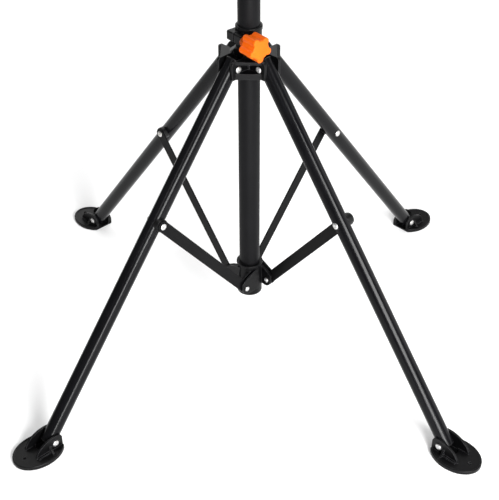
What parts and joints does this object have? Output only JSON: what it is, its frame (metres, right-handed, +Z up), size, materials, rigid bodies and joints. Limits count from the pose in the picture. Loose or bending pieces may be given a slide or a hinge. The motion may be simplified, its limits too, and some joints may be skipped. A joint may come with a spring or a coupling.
{
  "type": "folding stand base",
  "caption": "Folding four-leg base for an upright post: hinged tube legs and flat braces fold with a sliding hub that locks on the post with a clamp knob.",
  "frame": {"origin": "on the ground, on the post's axis, with the legs open", "axes": "+Z up along the post; the legs point along the diagonals between +X and +Y; -Y faces the camera of the reference view"},
  "size_m": [0.8432, 0.8432, 0.9],
  "materials": {
    "post_paint": "satin black powder coat, faint orange peel",
    "leg_paint": "gloss black paint on drawn tube",
    "brace_paint": "semi-gloss black paint on flat strip",
    "hub_plastic": "satin black glass-filled nylon, fine moulded texture",
    "collar_plastic": "satin black glass-filled nylon, fine moulded texture",
    "pad_plastic": "matte black moulded plastic, scuffed at the edges",
    "cap_plastic": "matte black moulded plastic",
    "spacer_plastic": "satin black moulded plastic",
    "rivet_steel": "bright zinc plate, soft polish",
    "fastener_steel": "zinc-plated steel",
    "knob_plastic": "satin orange moulded plastic"
  },
  "bodies": {
    "base": {"post_tube": "post_paint", "lower_collar": "collar_plastic", "collar_rivets": "rivet_steel", "collar_screws": "fastener_steel"},
    "brace_fl": {"brace_fl": "brace_paint"},
    "brace_fr": {"brace_fr": "brace_paint"},
    "brace_br": {"brace_br": "brace_paint"},
    "brace_bl": {"brace_bl": "brace_paint"},
    "leg_fl": {"leg_tube_fl": "leg_paint", "leg_top_plug_fl": "cap_plastic", "leg_bottom_plug_fl": "cap_plastic", "brace_spacer_fl": "spacer_plastic", "mid_rivet_fl": "rivet_steel"},
    "leg_fr": {"leg_tube_fr": "leg_paint", "leg_top_plug_fr": "cap_plastic", "leg_bottom_plug_fr": "cap_plastic", "brace_spacer_fr": "spacer_plastic", "mid_rivet_fr": "rivet_steel"},
    "leg_br": {"leg_tube_br": "leg_paint", "leg_top_plug_br": "cap_plastic", "leg_bottom_plug_br": "cap_plastic", "brace_spacer_br": "spacer_plastic", "mid_rivet_br": "rivet_steel"},
    "leg_bl": {"leg_tube_bl": "leg_paint", "leg_top_plug_bl": "cap_plastic", "leg_bottom_plug_bl": "cap_plastic", "brace_spacer_bl": "spacer_plastic", "mid_rivet_bl": "rivet_steel"},
    "hub": {"hub_body": "hub_plastic", "hub_rivets": "rivet_steel", "clamp_nut": "fastener_steel", "clamp_washer": "fastener_steel"},
    "clamp_knob": {"clamp_knob": "knob_plastic", "clamp_screw": "fastener_steel"},
    "foot_fl": {"foot_pad_fl": "pad_plastic", "foot_rivet_fl": "rivet_steel"},
    "foot_fr": {"foot_pad_fr": "pad_plastic", "foot_rivet_fr": "rivet_steel"},
    "foot_br": {"foot_pad_br": "pad_plastic", "foot_rivet_br": "rivet_steel"},
    "foot_bl": {"foot_pad_bl": "pad_plastic", "foot_rivet_bl": "rivet_steel"}
  },
  "joints": [
    {"name": "brace_fl_fold", "type": "hinge", "parent": "base", "child": "brace_fl", "pos_m": [-0.00884, -0.03783, 0.12019], "axis": [-0.7071, 0.7071, 0], "range_deg": [0, 33.6]},
    {"name": "leg_fl_pivot", "type": "hinge", "parent": "brace_fl", "child": "leg_fl", "pos_m": [-0.15043, -0.17942, 0.36335], "axis": [0.7071, -0.7071, 0], "range_deg": [0, 68.08]},
    {"name": "hub_level", "type": "hinge", "parent": "leg_fl", "child": "hub", "pos_m": [-0.03111, -0.03111, 0.60126], "axis": [-0.7071, 0.7071, 0], "range_deg": [0, 34.48]},
    {"name": "brace_fr_fold", "type": "hinge", "parent": "base", "child": "brace_fr", "pos_m": [0.03783, -0.00884, 0.12019], "axis": [-0.7071, -0.7071, 0], "range_deg": [0, 33.61]},
    {"name": "brace_br_fold", "type": "hinge", "parent": "base", "child": "brace_br", "pos_m": [0.00884, 0.03783, 0.12019], "axis": [0.7071, -0.7071, 0], "range_deg": [0, 33.61]},
    {"name": "brace_bl_fold", "type": "hinge", "parent": "base", "child": "brace_bl", "pos_m": [-0.03783, 0.00884, 0.12019], "axis": [0.7071, 0.7071, 0], "range_deg": [0, 33.61]},
    {"name": "leg_fr_pivot", "type": "hinge", "parent": "hub", "child": "leg_fr", "pos_m": [0.03111, -0.03111, 0.60126], "axis": [0.7071, 0.7071, 0], "range_deg": [0, 34.48]},
    {"name": "leg_br_pivot", "type": "hinge", "parent": "hub", "child": "leg_br", "pos_m": [0.03111, 0.03111, 0.60126], "axis": [-0.7071, 0.7071, 0], "range_deg": [0, 34.48]},
    {"name": "leg_bl_pivot", "type": "hinge", "parent": "hub", "child": "leg_bl", "pos_m": [-0.03111, 0.03111, 0.60126], "axis": [-0.7071, -0.7071, 0], "range_deg": [0, 34.48]},
    {"name": "foot_fl_pivot", "type": "hinge", "parent": "leg_fl", "child": "foot_fl", "pos_m": [-0.35861, -0.35861, 0.019], "axis": [-0.7071, 0.7071, 0], "range_deg": [-25, 45]},
    {"name": "foot_fr_pivot", "type": "hinge", "parent": "leg_fr", "child": "foot_fr", "pos_m": [0.35861, -0.35861, 0.019], "axis": [-0.7071, -0.7071, 0], "range_deg": [-25, 45]},
    {"name": "foot_br_pivot", "type": "hinge", "parent": "leg_br", "child": "foot_br", "pos_m": [0.35861, 0.35861, 0.019], "axis": [0.7071, -0.7071, 0], "range_deg": [-25, 45]},
    {"name": "foot_bl_pivot", "type": "hinge", "parent": "leg_bl", "child": "foot_bl", "pos_m": [-0.35861, 0.35861, 0.019], "axis": [0.7071, 0.7071, 0], "range_deg": [-25, 45]},
    {"name": "clamp_turn", "type": "hinge", "parent": "hub", "child": "clamp_knob", "pos_m": [0.00465, -0.04832, 0.64976], "axis": [0.6428, -0.766, 0], "range_deg": [0, 720]}
  ],
  "couplings": [
    {"joint": "leg_fl_pivot", "follows": "brace_fl_fold", "ratio": 2.0258},
    {"joint": "hub_level", "follows": "brace_fl_fold", "ratio": 1.0258},
    {"joint": "brace_fr_fold", "follows": "brace_fl_fold", "ratio": 1},
    {"joint": "leg_fr_pivot", "follows": "brace_fl_fold", "ratio": 1.0258},
    {"joint": "brace_br_fold", "follows": "brace_fl_fold", "ratio": 1},
    {"joint": "leg_br_pivot", "follows": "brace_fl_fold", "ratio": 1.0258},
    {"joint": "brace_bl_fold", "follows": "brace_fl_fold", "ratio": 1},
    {"joint": "leg_bl_pivot", "follows": "brace_fl_fold", "ratio": 1.0258}
  ]
}
